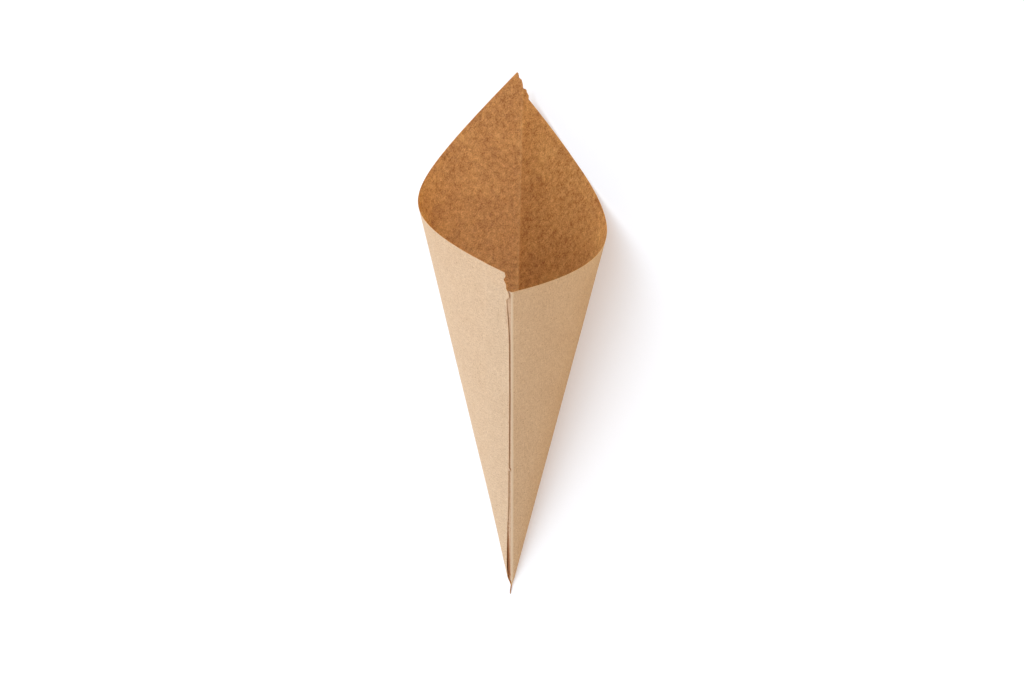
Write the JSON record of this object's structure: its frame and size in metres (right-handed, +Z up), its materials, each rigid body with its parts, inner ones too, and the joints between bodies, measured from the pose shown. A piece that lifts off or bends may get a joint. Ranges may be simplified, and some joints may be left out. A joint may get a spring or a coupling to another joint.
{
  "type": "paper cone bag",
  "caption": "Open kraft paper cone bag: one folded sheet glued along a side seam, pointed at the bottom and slanted at the mouth, for bread, pastries, chips or nuts.",
  "frame": {"origin": "centre of the bounding box at the height of the surface that the bag lies on", "axes": "+Y from the closed tip to the mouth along the surface, +Z up, +X to the right of someone who looks from the tip into the length of the bag"},
  "size_m": [0.1196, 0.2986, 0.0972],
  "materials": {
    "kraft_paper": "matte uncoated kraft paper"
  },
  "bodies": {
    "root": {"paper_cone": "kraft_paper"}
  },
  "joints": []
}
